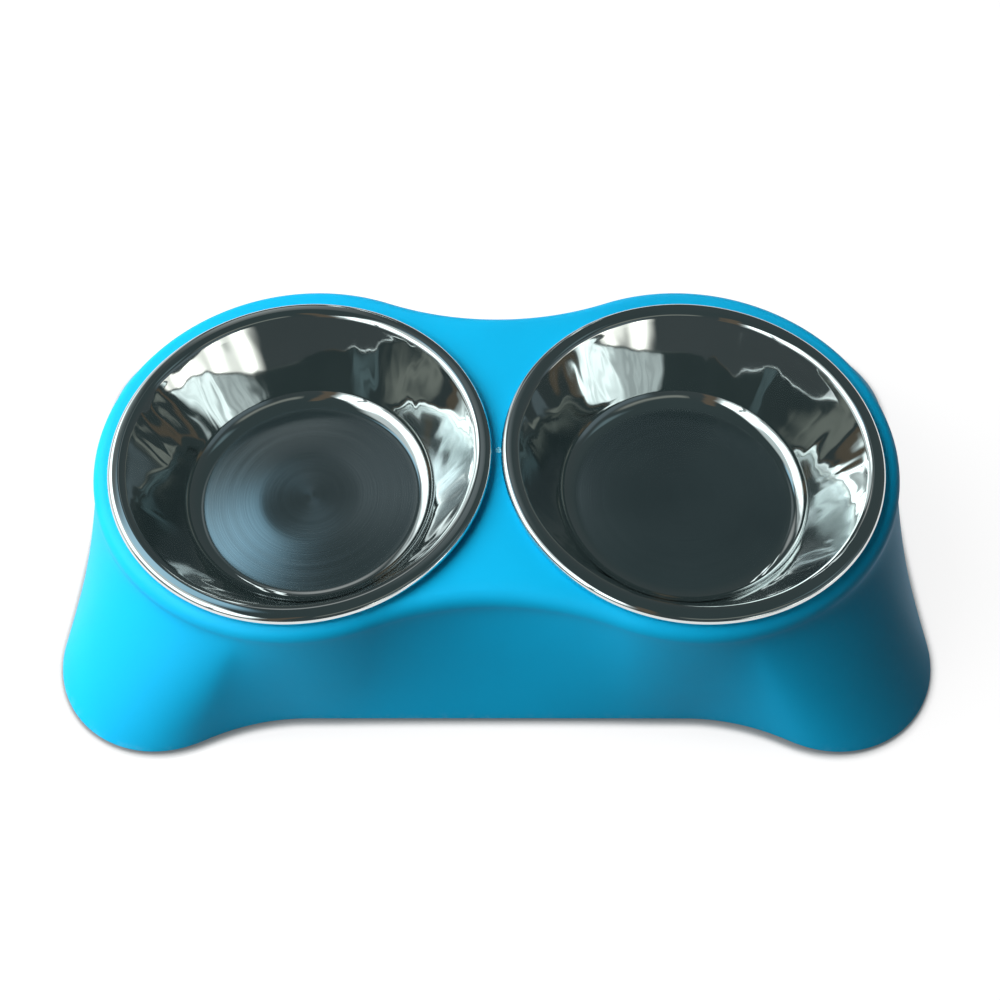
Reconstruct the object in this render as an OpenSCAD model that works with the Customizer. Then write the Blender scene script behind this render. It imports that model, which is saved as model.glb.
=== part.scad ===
// Double pet bowl: two steel bowls that lift out of a moulded stand on four rubber feet.
// The origin is on the floor under the middle of the stand. X runs from bowl to bowl and Z is up.

/* [Bowls] */
// Diameter of a bowl over its rolled rim
bowl_d = 150; // [130:1:170]
// Depth inside a bowl, from the top of its rim to its floor
bowl_depth = 35; // [28:1:45]
// Diameter at which the wall of a bowl would meet its floor
bowl_floor_d = 98; // [84:1:106]
// Radius of the curve between the floor and the wall, on the food side
bowl_fillet_r = 9; // [5:0.5:12]
// Thickness of the steel sheet
sheet_t = 0.8; // [0.6:0.1:1]
// Diameter of the rolled edge of the rim
rim_roll_d = 5; // [4:0.1:6]
// Width of the flat top of the rim, between the roll and the bend into the wall
rim_flat_w = 1.7; // [0.5:0.1:4]
// Radius of the bend from the rim into the wall, on the food side
rim_bend_r = 3.5; // [2:0.1:5]
// Gap between the rims of the two bowls
rim_gap = 3.5; // [2:0.5:10]
// How far the bowls sit forward of the middle of the deck
bowl_forward = 4; // [0:0.5:5]

/* [Stand] */
// Height of the deck above the floor
deck_h = 63; // [56:1:80]
// Width of the deck outside a bowl's rim
deck_border = 8; // [6:0.5:14]
// Radius of the hollow curve that draws the deck in between the bowls
waist_r = 125; // [100:1:170]
// Radius of the soft edge round the deck
edge_r = 5.5; // [4:0.5:8]
// Thickness of the plastic
wall_t = 2.8; // [2:0.1:3.4]
// How far the stand reaches out beyond its deck at each end
end_reach = 18.5; // [14:0.5:30]
// How far the corners reach out beyond the deck at the front and the back
corner_reach = 20.5; // [14:0.5:30]
// How far the straight skirt between the corners stands out beyond the deck
skirt_reach = 6.5; // [2:0.5:10]
// Radius of the round corner over each foot
corner_r = 43; // [36:1:50]
// Radius of the hollow curve from a corner to the straight skirt
shoulder_r = 93; // [70:1:120]
// Radius of the shallow hollow across each end
end_hollow_r = 580; // [300:10:900]
// Play between a bowl's wall and its hole in the deck
bowl_play = 1; // [0.6:0.1:2]
// Depth of the collar that stiffens each hole, below the deck
collar_h = 6; // [3:0.5:10]

/* [Feet] */
// Diameter of a rubber foot
foot_d = 16; // [12:0.5:20]
// Height of a foot's head
foot_head_h = 3.5; // [3:0.1:5]
// Height of the stand's lower edge above the floor
foot_lift = 1.5; // [1:0.1:2.5]
// Distance of a foot's centre inside the outline of its corner
foot_inset = 17; // [15:0.5:20]
// Diameter of a foot's stem
stem_d = 8; // [6:0.5:9]
// Length of a foot's stem
stem_h = 6; // [4:0.5:7]

/* [Hidden] */
$fn = 96;

// Number of points round each ring of the stand's skins, and of rings up the wall and round the edge
turn_steps = 144;
wall_steps = 8;
edge_steps = 4;
cavity_wall_steps = 6;
cavity_edge_steps = 2;
// Share of a step by which the hollow's points are turned, so that no edge of it meets an edge of the outside
cavity_turn_share = 0.5;
// One length by which every cut runs past the face that it starts from
overrun = 1;
// Share of the wall's height over which it leaves the upright and starts to flare
flare_start_share = 0.07;
// Clearance on the diameter between a stem and its bore
stem_clearance = 0.1;
// Depth of a stem's bore past the tip of the stem
bore_spare = 1.5;
// Width of the flat ring of plastic round a foot's head on its boss
boss_border = 1.2;
// Rounding of a foot's lower edge, and slant at the tip of its stem
foot_edge_r = 1.2;
stem_tip = 1;
// How far the rolled rim runs on past its lowest point, in degrees
roll_past = 20;

bowl_r = bowl_d / 2;
half_pitch = (bowl_d + rim_gap) / 2;

// The edge of the rim is rolled into a tube, which rests on the deck. Inside it the rim is flat and bends into the wall
rim_top = deck_h + rim_roll_d;
roll_r = rim_roll_d / 2;
roll_x = bowl_r - roll_r;
bend_x = roll_x - rim_flat_w;
bend_z = rim_top - rim_bend_r;
// The wall's food side is a straight line from the floor's corner that just touches the bend
floor_x = bowl_floor_d / 2;
floor_z = rim_top - bowl_depth;
bend_reach = norm([bend_x - floor_x, bend_z - floor_z]);
wall_a = atan2(bend_x - floor_x, bend_z - floor_z) - asin(rim_bend_r / bend_reach);
fillet_x = floor_x - bowl_fillet_r * tan((90 - wall_a) / 2);
wall_l = sqrt(pow(bend_reach, 2) - pow(rim_bend_r, 2)) - (floor_x - fillet_x);
// Radius of the wall's outside where it passes the deck's top
neck_r = bend_x + (sheet_t - rim_bend_r - (bend_z - deck_h) * sin(wall_a)) / cos(wall_a);
hole_r = neck_r + bowl_play;
collar_t = wall_t;

// Plan of the deck: a round lobe for each bowl, joined by a hollow arc with its centre on Y
deck_r = bowl_r + deck_border;
waist_y = sqrt(pow(deck_r + waist_r, 2) - pow(half_pitch, 2));
waist_end = [half_pitch * waist_r, waist_y * deck_r] / (deck_r + waist_r);
waist_end_a = atan2(waist_end.y, waist_end.x);

// Plan of the lower edge: round corners, a hollow shoulder to the straight skirt, and hollow ends
corner_x = half_pitch + deck_r + end_reach - corner_r;
corner_y = deck_r + corner_reach - corner_r;
skirt_y = deck_r + skirt_reach;
shoulder_y = skirt_y + shoulder_r;
shoulder_x = corner_x - sqrt(pow(corner_r + shoulder_r, 2) - pow(shoulder_y - corner_y, 2));
end_hollow_x = corner_x + sqrt(pow(corner_r + end_hollow_r, 2) - pow(corner_y, 2));
shoulder_end = between([corner_x, corner_y], [shoulder_x, shoulder_y], corner_r / (corner_r + shoulder_r));
end_hollow_end = between([corner_x, corner_y], [end_hollow_x, 0], corner_r / (corner_r + end_hollow_r));
skirt_end_a = atan2(skirt_y, shoulder_x);
shoulder_end_a = atan2(shoulder_end.y, shoulder_end.x);
end_hollow_end_a = atan2(end_hollow_end.y, end_hollow_end.x);

// Heights in the stand
wall_top = deck_h - edge_r;
cavity_edge_r = edge_r - wall_t;
cavity_top = deck_h - wall_t;

// A foot stands on the slant from its corner's centre to the corner
foot_x = corner_x + (corner_r - foot_inset) * cos(45);
foot_y = corner_y + (corner_r - foot_inset) * sin(45);
boss_d = foot_d + 2 * boss_border;
bore_h = stem_h + bore_spare;

steel = [0.72, 0.73, 0.74];
sky_blue = [0.02, 0.62, 0.86];
rubber = [0.16, 0.17, 0.18];

// The point a share of the way from p to q
function between(p, q, share) = p + (q - p) * share;

// Distance from the origin, in the direction a, to the far or the near side of a circle at p
function to_middle(a, p) = p.x * cos(a) + p.y * sin(a);
function half_chord(a, p, r) = sqrt(max(0, pow(r, 2) - pow(p.x * sin(a) - p.y * cos(a), 2)));
function far_side(a, p, r) = to_middle(a, p) + half_chord(a, p, r);
function near_side(a, p, r) = to_middle(a, p) - half_chord(a, p, r);

// Every outline is the same in each quarter, so a direction is first folded into the first quarter
function fold(a) = atan2(abs(sin(a)), abs(cos(a)));

// Distance from the origin to the deck's outline, drawn in by an inset, for a folded direction
function deck_at(q, inset) =
    q < waist_end_a
        ? far_side(q, [half_pitch, 0], deck_r - inset)
        : near_side(q, [0, waist_y], waist_r + inset);

// Distance from the origin to the outline of the lower edge, drawn in by an inset
function base_at(q, inset) =
    q > skirt_end_a ? (skirt_y - inset) / sin(q)
    : q > shoulder_end_a ? near_side(q, [shoulder_x, shoulder_y], shoulder_r + inset)
    : q > end_hollow_end_a ? far_side(q, [corner_x, corner_y], corner_r - inset)
    : near_side(q, [end_hollow_x, 0], end_hollow_r + inset);

// The flare is a hyperbola: upright under the deck's edge, and soon a straight slope to the lower edge
function flare(t) =
    (sqrt(pow(t, 2) + pow(flare_start_share, 2)) - flare_start_share)
    / (sqrt(1 + pow(flare_start_share, 2)) - flare_start_share);

// A ring of the wall at the share t of the way down it, and a ring round the deck's edge at e degrees
function turn_angles(turn) = [for (i = [0 : turn_steps - 1]) 360 * (i + turn) / turn_steps];
function wall_ring(t, inset, turn) = [
    for (a = turn_angles(turn))
        let (q = fold(a))
        let (r = deck_at(q, inset) + (base_at(q, inset) - deck_at(q, inset)) * flare(t))
        [r * cos(a), r * sin(a), wall_top - t * (wall_top - foot_lift)]
];
function edge_ring(e, inset, round_r, turn) = [
    for (a = turn_angles(turn))
        let (r = deck_at(fold(a), inset + round_r * (1 - cos(e))))
        [r * cos(a), r * sin(a), wall_top + round_r * sin(e)]
];

// A closed skin through rings of points, lowest first, with a flat fan across each end
module loft(rings) {
    n = len(rings[0]);
    m = len(rings);
    middles = [[0, 0, rings[0][0].z], [0, 0, rings[m - 1][0].z]];
    sides = [
        for (i = [0 : m - 2], j = [0 : n - 1])
            let (a = i * n + j, b = i * n + (j + 1) % n)
            each [[a, a + n, b + n], [a, b + n, b]]
    ];
    lower_fan = [for (j = [0 : n - 1]) [m * n, j, (j + 1) % n]];
    upper_fan = [for (j = [0 : n - 1]) [m * n + 1, (m - 1) * n + (j + 1) % n, (m - 1) * n + j]];
    polyhedron(
        points = concat([for (ring = rings) each ring], middles),
        faces = concat(sides, lower_fan, upper_fan)
    );
}

// The outside of the stand as a solid
module outer_skin() {
    loft(concat(
        [for (i = [wall_steps : -1 : 0]) wall_ring(i / wall_steps, 0, 0)],
        [for (i = [1 : edge_steps]) edge_ring(90 * i / edge_steps, 0, edge_r, 0)]
    ));
}

// The hollow under the stand, run on past its lower edge
module cavity() {
    past = 1 + overrun / (wall_top - foot_lift);
    turn = cavity_turn_share;
    loft(concat(
        [for (i = [cavity_wall_steps : -1 : 0]) wall_ring(past * i / cavity_wall_steps, wall_t, turn)],
        [for (i = [1 : cavity_edge_steps]) edge_ring(90 * i / cavity_edge_steps, wall_t, cavity_edge_r, turn)]
    ));
}

module at_bowl(side) {
    translate([side * half_pitch, -bowl_forward, 0]) children();
}

module at_each_bowl() {
    for (side = [-1, 1])
        at_bowl(side) children();
}

module at_each_foot() {
    for (side = [-1, 1], end = [-1, 1])
        translate([side * foot_x, end * foot_y, 0]) children();
}

// The hollow less what stands in it: a collar round each hole and a boss over each foot
module hollow() {
    difference() {
        cavity();
        at_each_bowl()
            translate([0, 0, cavity_top - collar_h])
                cylinder(r = hole_r + collar_t, h = collar_h + overrun);
        at_each_foot()
            translate([0, 0, foot_head_h])
                cylinder(d = boss_d, h = deck_h);
    }
}

module stand() {
    color(sky_blue)
    difference() {
        outer_skin();
        hollow();
        at_each_bowl()
            translate([0, 0, cavity_top - collar_h - overrun])
                cylinder(r = hole_r, h = collar_h + wall_t + 2 * overrun);
        at_each_foot()
            translate([0, 0, foot_head_h - overrun])
                cylinder(d = stem_d + stem_clearance, h = bore_h + overrun);
    }
}

// The bowl's section is one sheet, bent step by step. Each stretch starts at the origin along X, with the food side
// on top, and its child starts where it ends
module straight(length) {
    translate([0, -sheet_t])
        square([length, sheet_t]);
    translate([length, 0])
        children();
}

// The part of a ring that starts straight above or below its centre, on the way along X, and turns by a, up to 180
module arc(outer_r, a) {
    reach = 2 * outer_r;
    difference() {
        circle(r = outer_r);
        circle(r = outer_r - sheet_t);
        translate([-reach, -reach])
            square([reach, 2 * reach]);
        rotate(a)
            translate([0, -reach])
                square([reach, 2 * reach]);
    }
}

// A bend up by a, whose food side has the radius r, and a bend down
module curve_up(r, a) {
    translate([0, r]) {
        arc(r + sheet_t, a);
        rotate(a)
            translate([0, -r])
                children();
    }
}

module curve_down(r, a) {
    translate([0, -r]) {
        arc(r, -a);
        rotate(-a)
            translate([0, r])
                children();
    }
}

// Half the section: flat floor, curve, straight wall, bend, flat rim and its rolled edge
module bowl_section() {
    roll_a = 180 + roll_past;
    translate([0, floor_z])
        straight(fillet_x)
        curve_up(bowl_fillet_r, 90 - wall_a)
        straight(wall_l)
        curve_down(rim_bend_r, 90 - wall_a)
        straight(rim_flat_w)
        curve_down(roll_r, roll_a / 2)
        curve_down(roll_r, roll_a / 2);
}

module bowl() {
    color(steel)
    rotate_extrude()
        bowl_section();
}

module bowl_left() {
    at_bowl(-1) bowl();
}

module bowl_right() {
    at_bowl(1) bowl();
}

// Half the section of a foot: a head with a round lower edge, and a stem with a slanted tip
module foot_section() {
    head_r = foot_d / 2;
    stem_r = stem_d / 2;
    square([head_r - foot_edge_r, foot_head_h]);
    translate([0, foot_edge_r])
        square([head_r, foot_head_h - foot_edge_r]);
    translate([head_r - foot_edge_r, foot_edge_r])
        circle(r = foot_edge_r);
    polygon([
        [0, 0],
        [stem_r, 0],
        [stem_r, foot_head_h + stem_h - stem_tip],
        [stem_r - stem_tip, foot_head_h + stem_h],
        [0, foot_head_h + stem_h]
    ]);
}

module foot(side, end) {
    color(rubber)
    translate([side * foot_x, end * foot_y, 0])
        rotate_extrude()
            foot_section();
}

module foot_front_left() {
    foot(-1, -1);
}

module foot_front_right() {
    foot(1, -1);
}

module foot_rear_left() {
    foot(-1, 1);
}

module foot_rear_right() {
    foot(1, 1);
}

stand();
bowl_left();
bowl_right();
foot_front_left();
foot_front_right();
foot_rear_left();
foot_rear_right();
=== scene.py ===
# %% [markdown]
# # A double pet bowl: two polished steel bowls in a moulded stand
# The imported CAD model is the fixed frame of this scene. It says where each piece is and which body it moves with.
# Every visible piece is worked out again here as a smooth surface, because the CAD stand is made of flat facets and
# a polished bowl shows each facet in its reflections. The pieces keep the CAD model's sizes, in metres.

import bmesh
import bpy
import numpy as np
from mathutils import Matrix, Vector


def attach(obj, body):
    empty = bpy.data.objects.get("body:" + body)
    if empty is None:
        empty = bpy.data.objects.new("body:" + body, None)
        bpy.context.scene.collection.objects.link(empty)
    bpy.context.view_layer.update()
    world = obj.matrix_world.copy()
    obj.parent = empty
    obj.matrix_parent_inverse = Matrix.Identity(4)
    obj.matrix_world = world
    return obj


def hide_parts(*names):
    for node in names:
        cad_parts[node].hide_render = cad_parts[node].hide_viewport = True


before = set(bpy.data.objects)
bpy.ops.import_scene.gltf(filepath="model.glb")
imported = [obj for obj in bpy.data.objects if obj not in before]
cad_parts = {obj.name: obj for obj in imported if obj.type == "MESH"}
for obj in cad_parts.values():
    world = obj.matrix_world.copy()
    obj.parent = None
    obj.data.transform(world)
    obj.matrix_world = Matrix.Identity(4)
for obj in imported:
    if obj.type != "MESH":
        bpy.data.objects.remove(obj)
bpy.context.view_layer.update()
print("nodes", sorted(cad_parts))

# %% [markdown]
# ## The sizes
# The stand and the bowls follow the same plan as the CAD source: circles and hollow arcs that touch each other.
# A few driving sizes give every other point. They are the same as the CAD model's, so that each piece lies where
# its solid does and nothing has to be fitted by eye.
#
# A bowl's section bends round three centres: FILLET over the floor's edge, BEND under the rim and ROLL in the bead.
# WALL_A is the wall's lean from upright, for which the wall touches both the fillet and the bend. NECK_R is the radius
# of the wall's outside at the height of the deck, and the hole is a little wider.

# %% The sizes of the bowls
MM = 0.001
SIDES = ((-1, "left"), (1, "right"))
BOWL_R = 75 * MM
HALF_PITCH = 76.75 * MM
BOWL_FORWARD = 4 * MM
DECK_H = 63 * MM
SHEET_T = 0.8 * MM
ROLL_R = 2.5 * MM
FLOOR_R = 49 * MM
FLOOR_Z = 33 * MM
FILLET_R = 9 * MM
BEND_R = 3.5 * MM
RIM_FLAT = 1.7 * MM
HOLE_GAP = 1 * MM
ROLL = np.array([BOWL_R - ROLL_R, DECK_H + ROLL_R])
BEND = np.array([ROLL[0] - RIM_FLAT, DECK_H + 2 * ROLL_R - BEND_R])
REACH = BEND - [FLOOR_R, FLOOR_Z]
WALL_A = np.arctan2(REACH[0], REACH[1]) - np.arcsin(BEND_R / np.hypot(*REACH))
FILLET = np.array([FLOOR_R - FILLET_R * np.tan((np.pi / 2 - WALL_A) / 2), FLOOR_Z + FILLET_R])
WALL_OUT = np.array([np.cos(WALL_A), -np.sin(WALL_A)])
NECK_R = BEND[0] + (SHEET_T - BEND_R - (BEND[1] - DECK_H) * np.sin(WALL_A)) / np.cos(WALL_A)
HOLE_R = NECK_R + HOLE_GAP
print("wall leans %.2f degrees, hole radius %.3f mm" % (np.degrees(WALL_A), HOLE_R / MM))

# %% The sizes of the stand
DECK_MARGIN = 8 * MM
END_FLARE = 18.5 * MM
SIDE_FLARE = 20.5 * MM
SKIRT_FLARE = 6.5 * MM
FOOT_INSET = 17 * MM
DECK_R = BOWL_R + DECK_MARGIN
WAIST_R = 125 * MM
EDGE_R = 5.5 * MM
WALL_T = 2.8 * MM
FOOT_LIFT = 1.5 * MM
CORNER_R = 43 * MM
SHOULDER_R = 93 * MM
END_HOLLOW_R = 580 * MM
COLLAR_H = 6 * MM
FLARE_START = 0.07
WALL_TOP = DECK_H - EDGE_R
WAIST_Y = np.sqrt((DECK_R + WAIST_R) ** 2 - HALF_PITCH ** 2)
WAIST_END = np.array([HALF_PITCH * WAIST_R, WAIST_Y * DECK_R]) / (DECK_R + WAIST_R)
CORNER = np.array([HALF_PITCH + DECK_R + END_FLARE - CORNER_R, DECK_R + SIDE_FLARE - CORNER_R])
SKIRT_Y = DECK_R + SKIRT_FLARE
SHOULDER_Y = SKIRT_Y + SHOULDER_R
SHOULDER = np.array([CORNER[0] - np.sqrt((CORNER_R + SHOULDER_R) ** 2 - (SHOULDER_Y - CORNER[1]) ** 2), SHOULDER_Y])
END_HOLLOW = np.array([CORNER[0] + np.sqrt((CORNER_R + END_HOLLOW_R) ** 2 - CORNER[1] ** 2), 0])
FOOT = CORNER + (CORNER_R - FOOT_INSET) * np.sqrt(0.5)
print("corner centre", np.round(CORNER / MM, 2), "foot", np.round(FOOT / MM, 3))

# %% [markdown]
# ## Surfaces from grids
# A surface here is a grid of points: one parameter runs along the rows and the other across them. The points of a
# whole surface are worked out at once with numpy. Several grids that share edge points are then welded into one
# mesh, which is how the stand's skin, its deck and its underside become one closed shell.


# %% Grids to a mesh
def grid_faces(rows, columns, closed):
    """Each cell of a grid is one four-sided face. With closed, the last column is joined to the first."""
    i, j = np.meshgrid(np.arange(rows - 1), np.arange(columns if closed else columns - 1), indexing="ij")
    k = (j + 1) % columns
    return np.stack([i * columns + j, i * columns + k, (i + 1) * columns + k, (i + 1) * columns + j], -1).reshape(-1, 4)


def welded_mesh(name, patches, weld=2e-7, smooth_angle=40):
    """Stacks patches of (points in a grid, closed or not) into one mesh, and welds points that share a place."""
    points, faces, start = [], [], 0
    for grid, closed in patches:
        points.append(grid.reshape(-1, 3))
        faces.append(grid_faces(grid.shape[0], grid.shape[1], closed) + start)
        start += grid.shape[0] * grid.shape[1]
    mesh = bpy.data.meshes.new(name)
    mesh.from_pydata(np.concatenate(points), [], np.concatenate(faces))
    work = bmesh.new()
    work.from_mesh(mesh)
    bmesh.ops.remove_doubles(work, verts=work.verts, dist=weld)
    bmesh.ops.dissolve_degenerate(work, edges=work.edges, dist=weld)
    bmesh.ops.recalc_face_normals(work, faces=work.faces)
    open_edges = sum(not e.is_manifold for e in work.edges)
    work.to_mesh(mesh)
    work.free()
    mesh.shade_smooth()
    mesh.set_sharp_from_angle(angle=np.radians(smooth_angle))
    made = bpy.data.objects.new(name, mesh)
    bpy.context.scene.collection.objects.link(made)
    print(name, len(mesh.polygons), "faces,", open_edges, "open edges")
    return made


# %% [markdown]
# ## The stand's outlines
# Seen from above, the deck is two round lobes joined by a hollow arc at the front and the back, like a bone. The
# lower edge is four round corners with a hollow shoulder between each corner and a straight skirt. Both are the
# same in each quarter, so a direction is folded into the first quarter and the distance to the outline is found
# from the circle that the direction meets there. The wall is a blend from one outline to the other.


# %% Distance to the outlines
def to_circle(q, centre, radius, side):
    """Distance along the direction q to a circle: the way to the middle of its chord, plus or minus half the chord."""
    across = centre[0] * np.sin(q) - centre[1] * np.cos(q)
    return centre[0] * np.cos(q) + centre[1] * np.sin(q) + side * np.sqrt(np.maximum(radius ** 2 - across ** 2, 0))


def fold(a):
    """The angle of the same direction in the first quarter: arc tangent of |sin| over |cos|."""
    return np.arctan2(np.abs(np.sin(a)), np.abs(np.cos(a)))


def deck_at(q, inset):
    """The deck's outline: a lobe's far side near the ends, and the waist arc's near side beyond."""
    lobe = to_circle(q, (HALF_PITCH, 0), DECK_R - inset, 1)
    waist = to_circle(q, (0, WAIST_Y), WAIST_R + inset, -1)
    return np.where(q < np.arctan2(WAIST_END[1], WAIST_END[0]), lobe, waist)


def base_at(q, inset):
    """The lower edge: end hollow, corner, shoulder and straight skirt, in that order from the end to the front."""
    shoulder_end = CORNER + (SHOULDER - CORNER) * CORNER_R / (CORNER_R + SHOULDER_R)
    hollow_end = CORNER + (END_HOLLOW - CORNER) * CORNER_R / (CORNER_R + END_HOLLOW_R)
    skirt = (SKIRT_Y - inset) / np.maximum(np.sin(q), 1e-9)
    shoulder = to_circle(q, SHOULDER, SHOULDER_R + inset, -1)
    corner = to_circle(q, CORNER, CORNER_R - inset, 1)
    end = to_circle(q, END_HOLLOW, END_HOLLOW_R + inset, -1)
    out = np.where(q > np.arctan2(hollow_end[1], hollow_end[0]), corner, end)
    out = np.where(q > np.arctan2(shoulder_end[1], shoulder_end[0]), shoulder, out)
    return np.where(q > np.arctan2(SKIRT_Y, SHOULDER[0]), skirt, out)


def flare(t):
    """A hyperbola from 0 to 1, level at first and then a straight slope: root(t^2 + s^2) - s, scaled to end at 1."""
    s = FLARE_START
    return (np.sqrt(t ** 2 + s ** 2) - s) / (np.sqrt(1 + s ** 2) - s)


def skin(a, inset, z):
    """A point of the wall in direction a at height z: from the deck's outline to the lower one by the flare."""
    q = fold(a)
    t = np.clip((WALL_TOP - z) / (WALL_TOP - FOOT_LIFT), 0, None)
    r = deck_at(q, inset) + (base_at(q, inset) - deck_at(q, inset)) * flare(t)
    return np.stack(np.broadcast_arrays(r * np.cos(a), r * np.sin(a), z), -1)


# %% [markdown]
# ## The stand as one closed shell
# The shell is cut in two halves at X = 0, one for each bowl, because then the deck of a half has a single round
# hole. Every point of the half's outline is joined to the hole by a straight line towards the bowl's axis, which
# gives a clean grid with no stray triangles. Rows of points run up the outside of the wall, over the soft edge,
# across the deck, down through the hole, round the collar, across the underside and down the inner wall.

# %% Directions and rows
TURNS = 300
BRIDGE = 56
WALL_ROWS = 34
EDGE_ROWS = 13
LIP_ROWS = 5
DECK_ROWS = 6
ROOF_ROWS = 5
LIP_R = 0.5 * MM
turn = np.linspace(-np.pi / 2, np.pi / 2, TURNS + 1)
rise = np.linspace(0, 1, WALL_ROWS) ** 1.5
outer_z = (WALL_TOP - (WALL_TOP - FOOT_LIFT - LIP_R) * rise)[::-1]
quarter = np.linspace(0, np.pi / 2, EDGE_ROWS)
print("directions", len(turn), "rows up the wall", len(outer_z))


# %% The wall, inside and outside, and its lower lip
def wall_patch():
    """Rows from the deck's edge down the outside, round the lip and up the inside to the roof of the hollow."""
    a = turn[None, :]
    roof_r = EDGE_R - WALL_T
    outer_edge = skin(a, EDGE_R * (1 - np.cos(quarter))[::-1, None], WALL_TOP + EDGE_R * np.sin(quarter)[::-1, None])
    outer = skin(a, 0.0, outer_z[::-1, None])
    lip = np.linspace(0, np.pi / 2, LIP_ROWS)
    lip_out = skin(a, LIP_R * (1 - np.cos(lip))[:, None], FOOT_LIFT + LIP_R * (1 - np.sin(lip))[:, None])
    lip_in = skin(a, WALL_T - LIP_R * (1 - np.cos(lip))[::-1, None], FOOT_LIFT + LIP_R * (1 - np.sin(lip))[::-1, None])
    inner = skin(a, WALL_T, outer_z[:, None])
    inner_edge = skin(a, WALL_T + roof_r * (1 - np.cos(quarter))[:, None], WALL_TOP + roof_r * np.sin(quarter)[:, None])
    return np.concatenate([outer_edge, outer[1:], lip_out[1:], lip_in, inner[1:], inner_edge[1:]])


def deck_loop(z):
    """The edge of half a deck, drawn in by the edge's radius: its outline, and back along the bridge at X = 0."""
    outline = skin(turn, EDGE_R, np.full(len(turn), z))
    back = np.linspace(outline[-1, 1], outline[0, 1], BRIDGE + 1)[1:-1]
    return np.concatenate([outline, np.stack([0 * back, back, 0 * back + z], -1)])


def deck_patch(z, hole_r, rows, lip_r=0.0):
    """Lines from the edge of half a deck to a circle round the bowl's axis, in equal steps."""
    loop = deck_loop(z)
    axis = np.array([HALF_PITCH, -BOWL_FORWARD, z])
    way = (loop - axis) / np.linalg.norm(loop - axis, axis=1)[:, None]
    share = np.linspace(0, 1, rows)[:, None, None]
    return loop + (axis + way * (hole_r + lip_r) - loop) * share, way, axis


def collar_patch():
    """From the deck's hole down its wall, round the collar and up its outside to the roof of the hollow."""
    deck, way, axis = deck_patch(DECK_H, HOLE_R, DECK_ROWS, LIP_R)
    bend = np.linspace(0, np.pi / 2, LIP_ROWS)[1:]
    foot_z = DECK_H - WALL_T - COLLAR_H
    steps = [(HOLE_R + LIP_R * (1 - np.sin(b)), DECK_H - LIP_R * (1 - np.cos(b))) for b in bend]
    steps += [(HOLE_R, foot_z + LIP_R + (DECK_H - foot_z - 2 * LIP_R) * s) for s in (0.66, 0.33, 0)]
    steps += [(HOLE_R + LIP_R * (1 - np.cos(b)), foot_z + LIP_R * (1 - np.sin(b))) for b in bend]
    steps += [(HOLE_R + WALL_T - LIP_R * (1 - np.sin(b)), foot_z + LIP_R * (1 - np.cos(b))) for b in [0, *bend]]
    steps += [(HOLE_R + WALL_T, foot_z + LIP_R + (COLLAR_H - LIP_R) * s) for s in (0.5, 1)]
    r, z = np.array(steps).T
    rings = axis * [1, 1, 0] + way * r[:, None, None] + np.stack([0 * z, 0 * z, z], -1)[:, None, :]
    roof = deck_patch(DECK_H - WALL_T, HOLE_R + WALL_T, ROOF_ROWS)[0][::-1]
    return np.concatenate([deck, rings, roof[1:]])


wall = wall_patch()
collar = collar_patch()
print("wall grid", wall.shape, "collar grid", collar.shape)

# %% [markdown]
# ## The bosses over the feet
# Each foot's stem is pushed into a blind bore in a round boss. The boss grows out of the sloping inner wall, so its
# upper end is not flat: at each point it stops in the middle of the wall's thickness, where it is hidden. The
# height comes from turning the flare formula round. The boss is a closed skin of its own inside the shell.

# %% A boss that ends in the sloping wall
BOSS_R = 9.2 * MM
BORE_R = 4.05 * MM
BOSS_Z = 3.5 * MM
BOSS_EASE = 0.4 * MM
BORE_TOP = 11 * MM


def wall_height(x, y, inset):
    """The height at which the wall's skin passes over a point: the flare's share, turned back into a height."""
    q = np.arctan2(np.abs(y), np.abs(x))
    share = (np.hypot(x, y) - deck_at(q, inset)) / (base_at(q, inset) - deck_at(q, inset))
    s = FLARE_START
    t = np.sqrt((np.maximum(share, 0) * (np.sqrt(1 + s ** 2) - s) + s) ** 2 - s ** 2)
    return WALL_TOP - np.clip(t, 0, 1) * (WALL_TOP - FOOT_LIFT)


def boss_patch(side, end, turns=72):
    """Rings about the foot's axis: the bore's roof, the bore, the ring face, the outside, and the hidden top."""
    a = np.arange(turns) * 2 * np.pi / turns
    ease = BOSS_EASE
    below = [(0, BORE_TOP), (BORE_R - ease, BORE_TOP), (BORE_R, BORE_TOP - ease), (BORE_R, BOSS_Z + ease),
             (BORE_R + ease, BOSS_Z), (BOSS_R - ease, BOSS_Z), (BOSS_R, BOSS_Z + ease)]
    above = np.concatenate([[BOSS_R], np.linspace(BOSS_R, 0, 10)])
    r = np.array([p[0] for p in below] + list(above))
    x = side * FOOT[0] + r[:, None] * np.cos(a)
    y = end * FOOT[1] + r[:, None] * np.sin(a)
    z = np.array([p[1] for p in below])[:, None] + np.zeros(turns)
    top = wall_height(x[len(below):], y[len(below):], WALL_T / 2)
    top[0] = (BOSS_Z + top[1]) / 2
    return np.stack([x, y, np.concatenate([z, top])], -1), True


flip = np.array([-1, 1, 1])
patches = [(wall, False), (collar, True), (wall * flip, False), (collar * flip, True)]
patches += [boss_patch(side, end) for side in (-1, 1) for end in (-1, 1)]
stand_shell = welded_mesh("stand_shell", patches)
print("stand", [round(c / MM, 2) for c in stand_shell.dimensions], "mm")

# %% [markdown]
# ## The gate mark
# Where the melt entered the mould, in the middle of the bridge, the stand keeps a tiny pale ring with a broken
# centre, close to the right bowl's rim. It is a small turned piece that stands a quarter of a millimetre above the
# deck and reaches a little way into it.


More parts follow.
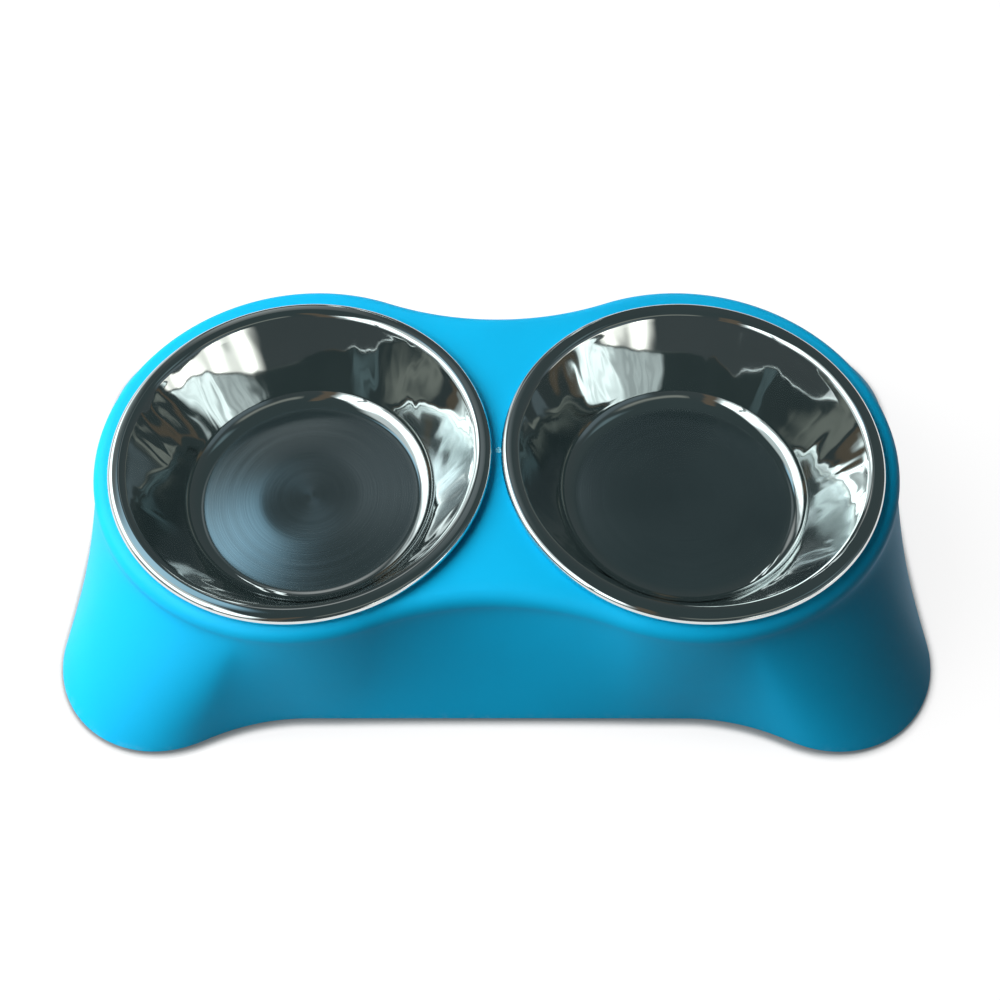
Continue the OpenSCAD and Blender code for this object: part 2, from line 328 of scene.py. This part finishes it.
# %% Turned pieces
def turned(name, profile, centre, turns=288, **options):
    """A profile of (radius, height) carried round an upright axis: (x, y) = centre + radius * (cos a, sin a)."""
    r, z = np.array(profile, float).T
    a = np.arange(turns) * 2 * np.pi / turns
    ring = np.stack(np.broadcast_arrays(centre[0] + r[:, None] * np.cos(a), centre[1] + r[:, None] * np.sin(a),
                                        z[:, None]), -1)
    return welded_mesh(name, [(ring, True)], **options)


GATE_AT = (1.1 * MM, -1.4 * MM)
GATE_PROFILE = [(0, 0.05), (0.75, 0.03), (0.9, 0.18), (1.15, 0.24), (1.35, 0.18), (1.45, 0.02),
                (1.45, -0.3), (0, -0.3)]
gate_mark = turned("gate_mark", [(r * MM, DECK_H + z * MM) for r, z in GATE_PROFILE], GATE_AT, turns=48)

# %% [markdown]
# ## The bowls
# A bowl is pressed from sheet steel and its rim is rolled outwards into a bead. Its section is one sheet thick: a
# flat floor, a curve, a straight wall, a bend, a narrow flat rim and the roll, which stops short of the wall
# underneath. The section is drawn once round both faces of the sheet and carried round the axis. A pressed wall is
# never perfectly round, and waves of a few hundredths of a millimetre are what makes the edges of a window wander in
# its reflection, so the wall gets a few such waves. They fade out towards the floor and the rim.


# %% The section of a bowl
def arc(centre, radius, start, end, steps):
    """Points on a circle from one angle to another, in degrees."""
    a = np.radians(np.linspace(start, end, steps))
    return np.stack([centre[0] + radius * np.cos(a), centre[1] + radius * np.sin(a)], -1)


def bowl_section():
    """The food side from the middle outwards, over the roll to its end, and back along the outside of the sheet."""
    lean = np.degrees(WALL_A)
    floor = np.stack([np.linspace(0, FILLET[0], 30), np.full(30, FLOOR_Z)], -1)
    curve = arc(FILLET, FILLET_R, -90, -lean, 24)
    wall_line = np.linspace(curve[-1], BEND - BEND_R * WALL_OUT, 24)
    rim = np.concatenate([arc(BEND, BEND_R, 180 - lean, 90, 20), arc(ROLL, ROLL_R, 90, -110, 44)])
    under_roll = arc(ROLL, ROLL_R - SHEET_T, -110, 90, 28)
    inside = np.concatenate([under_roll, arc(BEND, BEND_R - SHEET_T, 90, 180 - lean, 12)])
    back_wall = np.linspace(inside[-1], FILLET + (FILLET_R + SHEET_T) * WALL_OUT, 16)
    back_curve = arc(FILLET, FILLET_R + SHEET_T, -lean, -90, 16)
    back_floor = np.array([[0, FLOOR_Z - SHEET_T]])
    return np.concatenate([floor, curve[1:], wall_line[1:], rim[1:], inside, back_wall[1:], back_curve[1:], back_floor])


# How many waves there are in one turn, their height in millimetres and how far they twist on the way up.
WAVES = [(3, 0.035, 0), (5, 0.02, 1.5), (8, 0.010, -2), (13, 0.005, 3)]
WAVES_FROM = FILLET[1] - 2 * MM


def wavy_wall(points, centre, seed):
    """Moves the wall in and out: a sum of waves round the bowl, each a cosine of its count times the turn."""
    random = np.random.default_rng(seed)
    x, y, z = points[:, 0] - centre[0], points[:, 1] - centre[1], points[:, 2]
    a, r = np.arctan2(y, x), np.hypot(x, y)
    up = np.clip((z - WAVES_FROM) / (DECK_H - FILLET[1]), 0, 1)
    fade = np.sin(np.pi * up) ** 2
    push = sum(size * MM * np.cos(count * a + random.uniform(0, 6.28) + twist * up) for count, size, twist in WAVES)
    grow = 1 + push * fade / np.maximum(r, 1 * MM)
    return np.stack([centre[0] + x * grow, centre[1] + y * grow, z], -1)


section = bowl_section()
bowls = {}
for (side, name), seed in zip(SIDES, (3, 8)):
    centre = (side * HALF_PITCH, -BOWL_FORWARD)
    bowl = turned("steel_bowl_" + name, section, centre, smooth_angle=60)
    points = np.empty(len(bowl.data.vertices) * 3)
    bowl.data.vertices.foreach_get("co", points)
    bowl.data.vertices.foreach_set("co", wavy_wall(points.reshape(-1, 3), centre, seed).ravel())
    bowl.data.update()
    bowls[name] = bowl
print("section", len(section), "points, rim", round(section[:, 0].max() / MM, 2), "mm")

# %% [markdown]
# ## The feet
# A rubber foot is a short round plug with a soft lower edge. Its head carries the stand and its stem holds it.

# %% Four rubber feet
HEAD_R, HEAD_H = 8, 3.5
HEAD_SOFT, HEAD_EASE = 1.2, 0.3
STEM_R, STEM_TOP, STEM_TIP = 4, 9.5, 1
foot_section = np.concatenate([
    [[0, 0]], arc((HEAD_R - HEAD_SOFT, HEAD_SOFT), HEAD_SOFT, -90, 0, 8),
    arc((HEAD_R - HEAD_EASE, HEAD_H - HEAD_EASE), HEAD_EASE, 0, 90, 4), [[STEM_R + 0.2, HEAD_H]],
    [[STEM_R, HEAD_H + 0.1], [STEM_R, STEM_TOP - STEM_TIP], [STEM_R - STEM_TIP, STEM_TOP], [0, STEM_TOP]]]) * MM
feet = {}
for side, across in SIDES:
    for end, along in ((-1, "front"), (1, "rear")):
        node = f"foot_{along}_{across}"
        feet[node] = turned("rubber_" + node, foot_section, (side * FOOT[0], end * FOOT[1]), 72)

# %% [markdown]
# ## Writing materials as sums
# A material is a graph of small nodes. To keep the graph readable, a socket is wrapped in a class whose operators
# add Math nodes, so that a mask can be written as an expression. Every other node comes from one method.


# %% A wrapped socket and a graph
class Wire:
    """An output socket. Adding, subtracting, multiplying or dividing it adds a Math node."""

    def __init__(self, graph, socket):
        self.graph, self.socket = graph, socket

    def math(self, operation, *others, first=None):
        """A Math node with this socket as its first value, or as its second where first is given."""
        values = [self, *others] if first is None else [first, self]
        return self.graph.node("Math", {"operation": operation}, dict(enumerate(values)))

    def __add__(self, other):
        return self.math("ADD", other)

    def __sub__(self, other):
        return self.math("SUBTRACT", other)

    def __mul__(self, other):
        return self.math("MULTIPLY", other)

    def __truediv__(self, other):
        return self.math("DIVIDE", other)

    def __rsub__(self, other):
        return self.math("SUBTRACT", first=other)

    __radd__ = __add__

    def step(self, low, high):
        """0 below low, 1 above high and a soft step between. Low may be the larger, which turns the step round."""
        return self.graph.node("MapRange", {"interpolation_type": "SMOOTHSTEP"},
                               {"Value": self, "From Min": low, "From Max": high})


class Graph:
    """The node tree of a material or of the world, emptied first."""

    def __init__(self, owner):
        owner.use_nodes = True
        self.tree = owner.node_tree
        self.tree.nodes.clear()

    def node(self, kind, settings=None, sockets=None, out=0):
        """Adds a node of a type, sets its settings, then its sockets' values or links, and returns one output."""
        made = self.tree.nodes.new("ShaderNode" + kind)
        for name, value in (settings or {}).items():
            setattr(made, name, value)
        for name, value in (sockets or {}).items():
            if isinstance(value, Wire):
                self.tree.links.new(value.socket, made.inputs[name])
            else:
                made.inputs[name].default_value = value
        return Wire(self, made.outputs[out])

    def mix(self, share, a, b):
        """A colour that is a at 0 and b at 1. A Mix node's colour sockets are numbers 6 and 7, and its output is 2."""
        return self.node("Mix", {"data_type": "RGBA"}, {0: share, 6: a, 7: b}, out=2)

    def point(self):
        """The place on the piece, in metres."""
        return self.node("TexCoord", out="Object")

    def split(self, vector):
        """The X, Y and Z of a vector, all three from one node."""
        made = self.tree.nodes.new("ShaderNodeSeparateXYZ")
        self.tree.links.new(vector.socket, made.inputs[0])
        return [Wire(self, socket) for socket in made.outputs]

    def noise(self, vector, scale, detail, **sockets):
        """Cloudy noise about 0.5, with scale clouds in a metre. Each step of detail adds clouds of half the size."""
        return self.node("TexNoise", {}, {"Vector": vector, "Scale": scale, "Detail": detail, **sockets})

    def noise_along(self, distance, detail, **sockets):
        """The same noise along a line, with one cloud for each 1 of distance."""
        sockets = {"W": distance, "Scale": 1.0, "Detail": detail, **sockets}
        return self.node("TexNoise", {"noise_dimensions": "1D"}, sockets)

    def seen(self):
        """1 for the camera's rays, also where they come by way of a mirror or a glass, and 0 for soft light."""
        rays = [self.node("LightPath", out=f"Is {kind} Ray") for kind in ("Camera", "Glossy", "Transmission")]
        return (rays[0] + rays[1] + rays[2]).math("MINIMUM", 1.0)

    def finish(self, shader, kind="OutputMaterial"):
        """Links the last shader to the output node of a material or of the world."""
        self.tree.links.new(shader.socket, self.tree.nodes.new("ShaderNode" + kind).inputs[0])


def material(name):
    """A new material and its empty graph."""
    made = bpy.data.materials.new(name)
    return made, Graph(made)


print("graph ready")

# %% [markdown]
# ## The blue plastic
# The stand is a satin polypropylene moulding. Up close it has a very fine spark-eroded grain, a faint cloudiness in
# its colour and a slightly paler, rubbed lower edge. The grain is a bump so small that it only breaks up the
# sheen. All patterns are in metres, on the piece's own coordinates.

# %% Sky blue satin plastic
DEEP_BLUE, PALE_BLUE = (0.0, 0.425, 0.755, 1), (0.0, 0.445, 0.785, 1)
SPECK_BLUE, RUBBED_BLUE = (0.01, 0.48, 0.82, 1), (0.12, 0.52, 0.82, 1)
RUBBED_Z = 6 * MM
plastic, g = material("sky_blue_plastic")
point = g.point()
height = g.split(point)[2]
cloud = g.noise(point, 22, 3, Roughness=0.55)
speck = g.noise(point, 900, 2, Roughness=0.6)
grain = g.noise(point, 2600, 2)
scuff = g.noise(point, 260, 4, Roughness=0.65)
rubbed = height.step(RUBBED_Z, FOOT_LIFT) * scuff.step(0.45, 0.7)
blue = g.mix(cloud.step(0.35, 0.65), DEEP_BLUE, PALE_BLUE)
blue = g.mix(speck.step(0.62, 0.75) * 0.10, blue, SPECK_BLUE)
blue = g.mix(rubbed * 0.35, blue, RUBBED_BLUE)
bump = g.node("Bump", {}, {"Strength": 0.25, "Distance": 0.04 * MM, "Height": grain + speck * 0.5})
g.finish(g.node("BsdfPrincipled", {}, {
    "Base Color": blue, "Roughness": 0.46 + cloud * 0.06 + speck * 0.06, "Specular IOR Level": 0.17, "Normal": bump}))
stand_shell.data.materials.append(plastic)
print(plastic.name, len(plastic.node_tree.nodes), "nodes")

# %% [markdown]
# The gate mark is the same plastic, torn and therefore paler and rougher.

# %% Torn plastic
TORN_BLUE, TORN_PALE = (0.06, 0.58, 0.85, 1), (0.42, 0.90, 1.0, 1)
torn, g = material("torn_plastic")
fray = g.noise(g.point(), 1500, 3)
bump = g.node("Bump", {}, {"Strength": 0.5, "Distance": 0.1 * MM, "Height": fray})
g.finish(g.node("BsdfPrincipled", {}, {
    "Base Color": g.mix(fray.step(0.4, 0.65), TORN_BLUE, TORN_PALE), "Roughness": 0.5 + fray * 0.2, "Normal": bump}))
gate_mark.data.materials.append(torn)
print(torn.name, len(torn.node_tree.nodes), "nodes")

# %% [markdown]
# ## The polished steel
# The wall and the rim are buffed to a mirror. The floor keeps the marks of the spinning lathe: rings so fine that
# they smear a reflection across themselves, outwards from the middle. That is an anisotropic sheen, whose direction
# Blender takes from the middle of the piece when nothing is linked to it. The two finishes are two shaders, and the
# distance from the bowl's axis says which one shows.
#
# Two bumps turn the reflections without moving the surface. The floor is dished: its slope sets in at DISH_R. The wall
# has upright dents, which are deepest at the bowl's left and right and a fifth as deep at its front and back.

# %% Mirror wall and spun floor
RING_DARK, RING_PALE = (0.40, 0.46, 0.48, 1), (0.62, 0.69, 0.70, 1)
WALL_PALE, WALL_SMEARED = (0.73, 0.76, 0.75, 1), (0.66, 0.70, 0.69, 1)
# Each pair says where a mask is 0 and where it is 1.
SPUN_EDGE, SPUN_TOP = (46 * MM, 41.8 * MM), (36 * MM, 34 * MM)
DENTS_START, DENTS_END = (50 * MM, 57 * MM), (70 * MM, 66.5 * MM)
DISH_R, DISH_SOFT, DISH_SLOPE = 21 * MM, 3 * MM, -0.018
# Rings and drawing lines in a metre, and how deep the dents and, as a share of them, the lines are.
FINE_RINGS, BROAD_RINGS, DRAWN_LINES = 2600, 420, 1900
DENT_DEPTH, DRAWN_SHARE = 2.1 * MM, 0.00008


def steel(name, centre):
    """Both finishes, about a bowl's axis. The dish is its slope times (root(p^2 + soft^2) + p), p = radius - DISH_R."""
    made, g = material(name)
    point = g.point()
    x, y, z = g.split(point)
    dx, dy = x - centre[0], y - centre[1]
    radius = (dx * dx + dy * dy).math("SQRT")
    across, along = dx / radius, dy / radius
    smear = g.noise(point, 18, 2)
    fine = g.noise_along(radius * FINE_RINGS, 3, Roughness=0.7)
    broad = g.noise_along(radius * BROAD_RINGS, 2)
    drawn = g.noise_along(z * DRAWN_LINES, 2)
    upright = g.node("CombineXYZ", {}, {0: across * 0.06, 1: along * 0.06, 2: z * 0.45})
    wave = g.noise(upright, 44, 2, Roughness=0.3, Distortion=0.6)
    on_floor = radius.step(*SPUN_EDGE) * z.step(*SPUN_TOP)
    on_wall = radius.step(*DENTS_START) * radius.step(*DENTS_END)
    dents = (wave - 0.5) * on_wall * (0.2 + across.math("POWER", 2) * 0.8)
    past = radius - DISH_R
    dish = ((past * past + DISH_SOFT ** 2).math("SQRT") + past) * DISH_SLOPE
    floor_bump = g.node("Bump", {}, {"Strength": 1.0, "Distance": 1.0, "Height": dish})
    wall_bump = g.node("Bump", {}, {"Strength": 1.0, "Distance": DENT_DEPTH, "Height": dents + drawn * DRAWN_SHARE})
    rings = g.mix(fine.step(0.35, 0.65) * 0.5 + smear.step(0.3, 0.7) * 0.5, RING_DARK, RING_PALE)
    spun = g.node("BsdfPrincipled", {}, {
        "Base Color": rings, "Metallic": 1.0, "Roughness": 0.10 + broad * 0.05 + fine * 0.03, "Anisotropic": 0.6,
        "Normal": floor_bump})
    mirror = g.node("BsdfPrincipled", {}, {
        "Base Color": g.mix(smear.step(0.35, 0.7), WALL_PALE, WALL_SMEARED), "Metallic": 1.0,
        "Roughness": 0.02 + smear * 0.03 + on_wall * 0.01, "Normal": wall_bump})
    g.finish(g.node("MixShader", {}, {0: on_floor, 1: mirror, 2: spun}))
    return made


for side, name in SIDES:
    bowls[name].data.materials.append(steel("polished_steel_" + name, (side * HALF_PITCH, -BOWL_FORWARD)))
    print(bowls[name].name, bowls[name].data.materials[0].name)

# %% [markdown]
# ## The rubber
# The feet are dark moulded rubber, dull, with a bloom of dust.

# %% Dark rubber
RUBBER, DUSTY_RUBBER = (0.014, 0.014, 0.016, 1), (0.05, 0.05, 0.05, 1)
rubber, g = material("dark_rubber")
point = g.point()
dust = g.noise(point, 400, 4)
bump = g.node("Bump", {}, {"Strength": 0.3, "Distance": 0.05 * MM, "Height": g.noise(point, 2200, 2)})
g.finish(g.node("BsdfPrincipled", {}, {
    "Base Color": g.mix(dust.step(0.4, 0.75), RUBBER, DUSTY_RUBBER), "Roughness": 0.72 + dust * 0.15, "Normal": bump}))
for foot in feet.values():
    foot.data.materials.append(rubber)
print(rubber.name, len(feet), "feet")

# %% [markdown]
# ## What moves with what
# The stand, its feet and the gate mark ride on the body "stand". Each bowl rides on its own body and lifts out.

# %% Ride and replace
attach(stand_shell, "stand")
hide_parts("stand")
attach(gate_mark, "stand")
for name, bowl in bowls.items():
    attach(bowl, "bowl_" + name)
    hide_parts("bowl_" + name)
for node, foot in feet.items():
    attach(foot, "stand")
    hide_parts(node)
print("pieces", 2 + len(bowls) + len(feet))

# %% [markdown]
# ## The floor
# The floor is a pale sheet. For the camera and in reflections it is white with the object's soft shadow on it, partly
# cast by the lamps and mostly painted, and far from the object it is a little whiter still. For light that bounces off
# it, it is grey, so that it doesn't light the sides of the stand from below. Two masks paint shade into the white glow
# by
# how much of the sky is hidden: by what lies within a few millimetres, which paints the thin shadow line under the
# stand's edge, and by what lies within a hand's breadth, which paints the shade in the hollow of the stand.

# %% A pale floor
FLOOR_REACH = 8.0
CONTACT, HOLLOW = 4.5 * MM, 120 * MM
# SHADE is the colour of the painted shadow in the floor's white glow.
GREY, PALE_GREY, SHADE = (0.16, 0.16, 0.16, 1), (0.18, 0.18, 0.18, 1), (0.10, 0.12, 0.13, 1)
NEAR_WHITE, FAR_WHITE = (0.90, 0.90, 0.90, 1), (1, 1, 1, 1)
edges = [-FLOOR_REACH, FLOOR_REACH]
floor_grid = np.stack(np.meshgrid(edges, edges, [0.0], indexing="ij"), -1)[:, :, 0]
floor = welded_mesh("floor", [(floor_grid, False)])
floor_look, g = material("pale_floor")
seen = g.seen()
x, y, z = g.split(g.point())
# Painted shadow: these two masks darken the floor's white glow where nearby things hide the sky.
near = g.node("AmbientOcclusion", {"samples": 16}, {"Distance": CONTACT}, out=1).step(0.68, 1.0)
under = g.node("AmbientOcclusion", {"samples": 16}, {"Distance": HOLLOW}, out=1).step(0.0, 0.75)
white = g.mix((x * x + y * y).math("SQRT").step(0.5, 2.0), NEAR_WHITE, FAR_WHITE)
sheet = g.node("BsdfDiffuse", {}, {"Color": g.mix(seen, GREY, PALE_GREY)})
glow = g.node("Emission", {}, {"Color": g.mix(near * under, SHADE, white), "Strength": seen})
g.finish(g.node("AddShader", {}, {0: sheet, 1: glow}))
floor.data.materials.append(floor_look)
print("floor", tuple(floor.dimensions))

# %% [markdown]
# ## The dark tent
# Polished steel shows its surroundings. In the photograph they are a dim, slate-coloured room with a tall bright
# window on the left, a low one at the front right, narrow streaks of light behind and a few pale or brown things.
# A photographer would build that with dark cloth and soft boxes. Here it is one large dome round the set that only
# reflections see, with the windows drawn on it by their direction from the middle.

# %% A dome of directions
DOME_R, DOME_TURNS, DOME_ROWS = 3.0, 96, 40
dome_turn = np.arange(DOME_TURNS) * 2 * np.pi / DOME_TURNS
dome_rise = np.radians(np.linspace(0.5, 90, DOME_ROWS))[:, None]
dome_grid = DOME_R * np.stack(np.broadcast_arrays(
    np.cos(dome_rise) * np.cos(dome_turn), np.cos(dome_rise) * np.sin(dome_turn), np.sin(dome_rise)), -1)
tent = welded_mesh("tent", [(dome_grid, True)])
tent.visible_camera = tent.visible_diffuse = tent.visible_shadow = False
tent.visible_transmission = tent.visible_volume_scatter = False

# %% [markdown]
# A direction is given by its bearing, clockwise from the back in degrees, and its height above the horizon. Slow
# noise bends both a little, so that no edge is quite straight. A window is a soft-edged rectangle in these two. The
# tall one at the left ends in a low arch, and a bar and pieces of cloth break it up. The low one at the right front
# rises as it goes towards the camera.

# %% Directions, and a window among them
tent_look, g = material("dark_room")
point = g.point()
x, y, z = g.split(point)
bend = g.noise(point, 1.6, 2) - 0.5
bearing = x.math("ARCTAN2", y) * (180 / np.pi) + bend * 8
height = (z / (x * x + y * y + z * z).math("SQRT")).math("ARCSINE") * (180 / np.pi) + bend * 5


def window(left, right, low, high, soft=2.0):
    """1 inside a rectangle of bearing and height, and a soft edge round it."""
    across = bearing.step(left - soft, left + soft) * bearing.step(right + soft, right - soft)
    return across * height.step(low - soft, low + soft) * height.step(high + soft, high - soft)


print("directions ready")

# %% The dim room
# Left, right, lower and upper edge, softness, strength and colour.
PATCHES = [
    (90, 150, 12, 34, 6, 0.8, (0.13, 0.17, 0.19, 1)),           # over the low window at the right front
    (80, 100, 48, 63, 6, 0.8, (0.15, 0.22, 0.24, 1)),           # high at the right
    (118, 178, 41, 51, 6, 0.8, (0.30, 0.32, 0.29, 1)),          # a pale band high in front
    (-14, 0, 52, 61, 4, 0.8, (0.17, 0.20, 0.21, 1)),            # high behind
    (-167, -156, 18, 70, 3, 0.8, (0.14, 0.11, 0.08, 1)),        # a brown edge in front of the tall window
    (-25, -12, 33, 48, 4, 0.8, (0.42, 0.44, 0.44, 1)),          # a pale patch behind the tall window
    (-42, -27.5, 54.5, 63, 1.8, 0.9, (0.38, 0.66, 0.84, 1)),    # a strip of blue at its upper end
]
slate = g.mix(height.step(0, 80), (0.053, 0.067, 0.070, 1), (0.042, 0.061, 0.064, 1))
for *edges, strength, colour in PATCHES:
    slate = g.mix(window(*edges) * strength, slate, colour)
room = g.node("Emission", {}, {"Color": slate, "Strength": 1.0})
print("patches", len(PATCHES))

# %% The tall window at the left
arch = 68 - ((bearing + 80) / 15.6).math("POWER", 2)
sill = 13 - bearing.step(-100, -88) * 20
curtain = window(-42, -28, 50, 90, 2)
tall = window(-155, -31, -9, 90, 4) * (1 - curtain * 0.8)
tall = tall * (height - arch).step(3.0, -3.0) * (height - sill).step(-1.5, 1.5)
core = window(-150, -40, 24, 50, 5)
crown = window(-138, -104, 50, 90, 8)
bar = window(-135.5, -132.5, 14, 46, 0.8)
hem = window(-45, -31, 28, 52, 3) * (0.6 + bearing.math("SINE") * 0.3)
cloth = window(-121, -94, 16, 29, 3).math("MAXIMUM", hem)
folds = 0.86 + (bearing * 0.5 + height * 0.3).math("SINE") * 0.14
lit = tall * (0.27 + crown * 0.45 + core * 0.8) * (1 - bar * 0.85) * (1 - cloth * 0.6) * folds

# %% The low window, the streaks and the whole dome
COOL_PANE, WARM_PANE = (0.90, 0.99, 1.0, 1), (1.0, 1.0, 0.93, 1)
slant = (height - (bearing - 95) * 0.13 - 2.5).math("ABSOLUTE")
low = window(97, 153, -2, 16, 4) * slant.step(3.6, 2.2) * (0.7 + (bearing * 0.35).math("SINE") * 0.3)
streaks = window(-11, -1, 20, 40, 1) * (bearing * 1.3).math("SINE").step(0.1, 0.7)
warm = low / (lit + low + streaks + 0.001)
panes = g.node("Emission", {}, {
    "Color": g.mix(warm, COOL_PANE, WARM_PANE), "Strength": lit * 2.8 + low * 2.6 + streaks * 1.4})
g.finish(g.node("AddShader", {}, {0: room, 1: panes}))
# Sampled as a lamp too, the dome leaves less grain in the blurred reflections.
tent_look.cycles.emission_sampling = "FRONT_BACK"
tent.data.materials.append(tent_look)
print("tent", len(tent_look.node_tree.nodes), "nodes")

# %% [markdown]
# ## Light
# The stand is lit from the left: its left corners are the palest, its deck is even and its right front corner is
# almost in the dark. So the soft box stands close by at the left, where its light falls off across the stand. Two weak
# ones light the left front corner from lower down, one lights the back, and the room adds a dim light, a little
# stronger from the left and from above. The camera and the reflections see a white world, the rest sees this one.


# %% Soft boxes and the room's light
AIM = Vector((0, 0, 30)) * MM


def soft_box(name, place, width, height, power):
    """A flat lamp, with its power in watts, that looks at the middle of the object. Reflections don't show it."""
    data = bpy.data.lights.new(name, "AREA")
    data.shape, data.size, data.size_y, data.energy = "RECTANGLE", width, height, power
    lamp = bpy.data.objects.new(name, data)
    lamp.location = place
    lamp.rotation_euler = (AIM - lamp.location).to_track_quat("-Z", "Y").to_euler()
    bpy.context.scene.collection.objects.link(lamp)
    lamp.visible_camera = lamp.visible_glossy = False


soft_box("window_light", (-0.60, 0.08, 0.62), 0.8, 0.75, 11.4)
soft_box("front_light", (-0.40, -0.42, 0.24), 0.3, 0.3, 0.75)
soft_box("left_light", (-0.46, -0.16, 0.36), 0.4, 0.4, 0.6)
soft_box("back_light", (0.20, 1.30, 0.40), 0.8, 0.5, 4.0)
world = bpy.data.worlds.new("room_light")
bpy.context.scene.world = world
g = Graph(world)
seen = g.seen()
x, y, z = g.split(g.node("TexCoord", out="Generated"))
side_light = 0.05 - x * 0.02 + z * 0.02
g.finish(g.node("Background", {}, {"Color": (1, 1, 1, 1), "Strength": seen + (1 - seen) * side_light}), "OutputWorld")

# %% [markdown]
# ## The camera
# The camera was solved from the two equal rims and the outline in the photograph: it looks down at 58 degrees from
# straight in front.

# %% Place the camera
TARGET = Vector((1.402, -24.602, 63.0)) * MM
DISTANCE = 479.07 * MM
ELEVATION, AZIMUTH, ROLL_ANGLE = np.radians((58.207, 0.085, -0.064))
SENSOR, FOCAL = 36.0, 44.75
lens = bpy.data.cameras.new("camera")
lens.sensor_width, lens.lens = SENSOR, FOCAL
lens.clip_start, lens.clip_end = 0.01, 50
camera = bpy.data.objects.new("camera", lens)
back = Vector((np.sin(AZIMUTH) * np.cos(ELEVATION), -np.cos(AZIMUTH) * np.cos(ELEVATION), np.sin(ELEVATION)))
turned_camera = (-back).to_track_quat("-Z", "Y").to_matrix() @ Matrix.Rotation(ROLL_ANGLE, 3, "Z")
camera.matrix_world = Matrix.Translation(TARGET + DISTANCE * back) @ turned_camera.to_4x4()
bpy.context.scene.collection.objects.link(camera)
bpy.context.scene.camera = camera
bpy.context.scene.view_settings.view_transform = "Standard"
print("camera at", [round(c, 3) for c in camera.matrix_world.translation])
